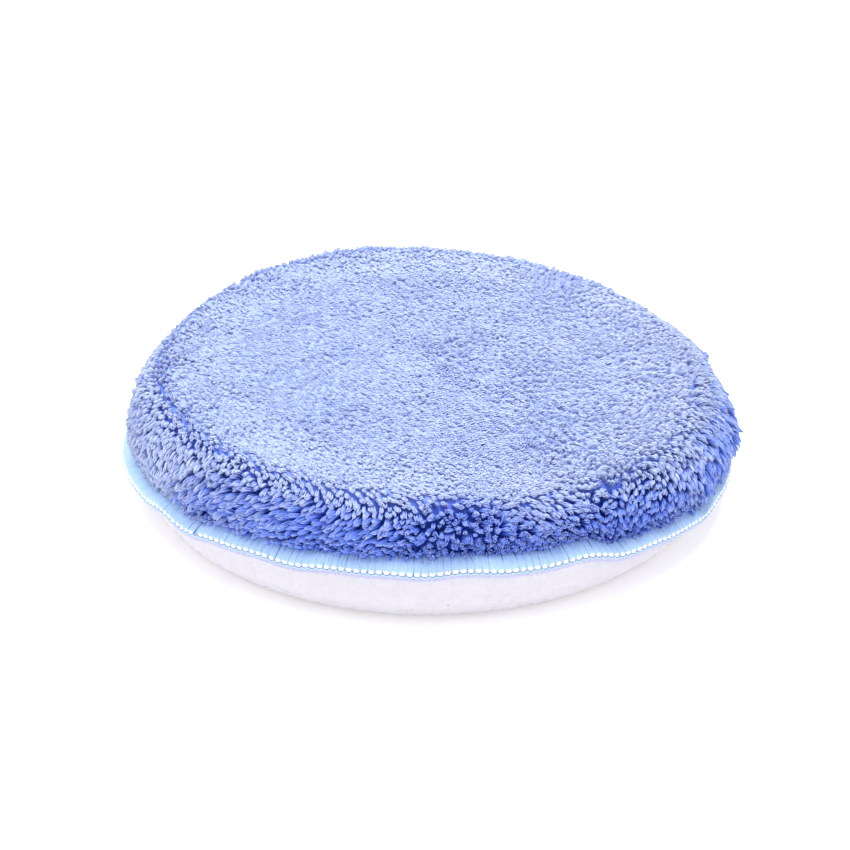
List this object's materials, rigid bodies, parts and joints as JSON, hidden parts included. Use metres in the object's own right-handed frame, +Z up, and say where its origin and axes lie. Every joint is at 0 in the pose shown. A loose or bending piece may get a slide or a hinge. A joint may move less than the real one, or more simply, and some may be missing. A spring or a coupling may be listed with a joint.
{
  "type": "polishing pad",
  "caption": "Round sewn polishing pad: plush microfibre face over a foam disc, hook-and-loop backing, overlocked seam round the edge.",
  "frame": {"origin": "centre of the loop face the pad rests on, at the bottom centre of its bounding box", "axes": "+Z up through the pad, from the loop backing to the plush face; the pad is round about Z, so X and Y are free"},
  "size_m": [0.18, 0.18, 0.043],
  "materials": {
    "foam": "open-cell polyurethane foam, matte",
    "face_knit": "knitted polyester ground, matte",
    "pile": "long split-fibre microfibre tufts, soft sheen",
    "backing_knit": "knitted polyester ground, matte",
    "loops": "brushed loop pile for hook fasteners, slight sparkle",
    "blue_thread": "textured polyester overlock thread, soft sheen",
    "white_thread": "textured polyester overlock thread, soft sheen",
    "needle_thread": "spun polyester sewing thread, matte"
  },
  "bodies": {
    "root": {"foam_core": "foam", "face_fabric": "face_knit", "microfibre_pile": "pile", "loop_backing": "backing_knit", "loop_nap": "loops", "upper_looper_thread": "blue_thread", "lower_looper_thread": "white_thread", "needle_thread": "needle_thread"}
  },
  "joints": []
}
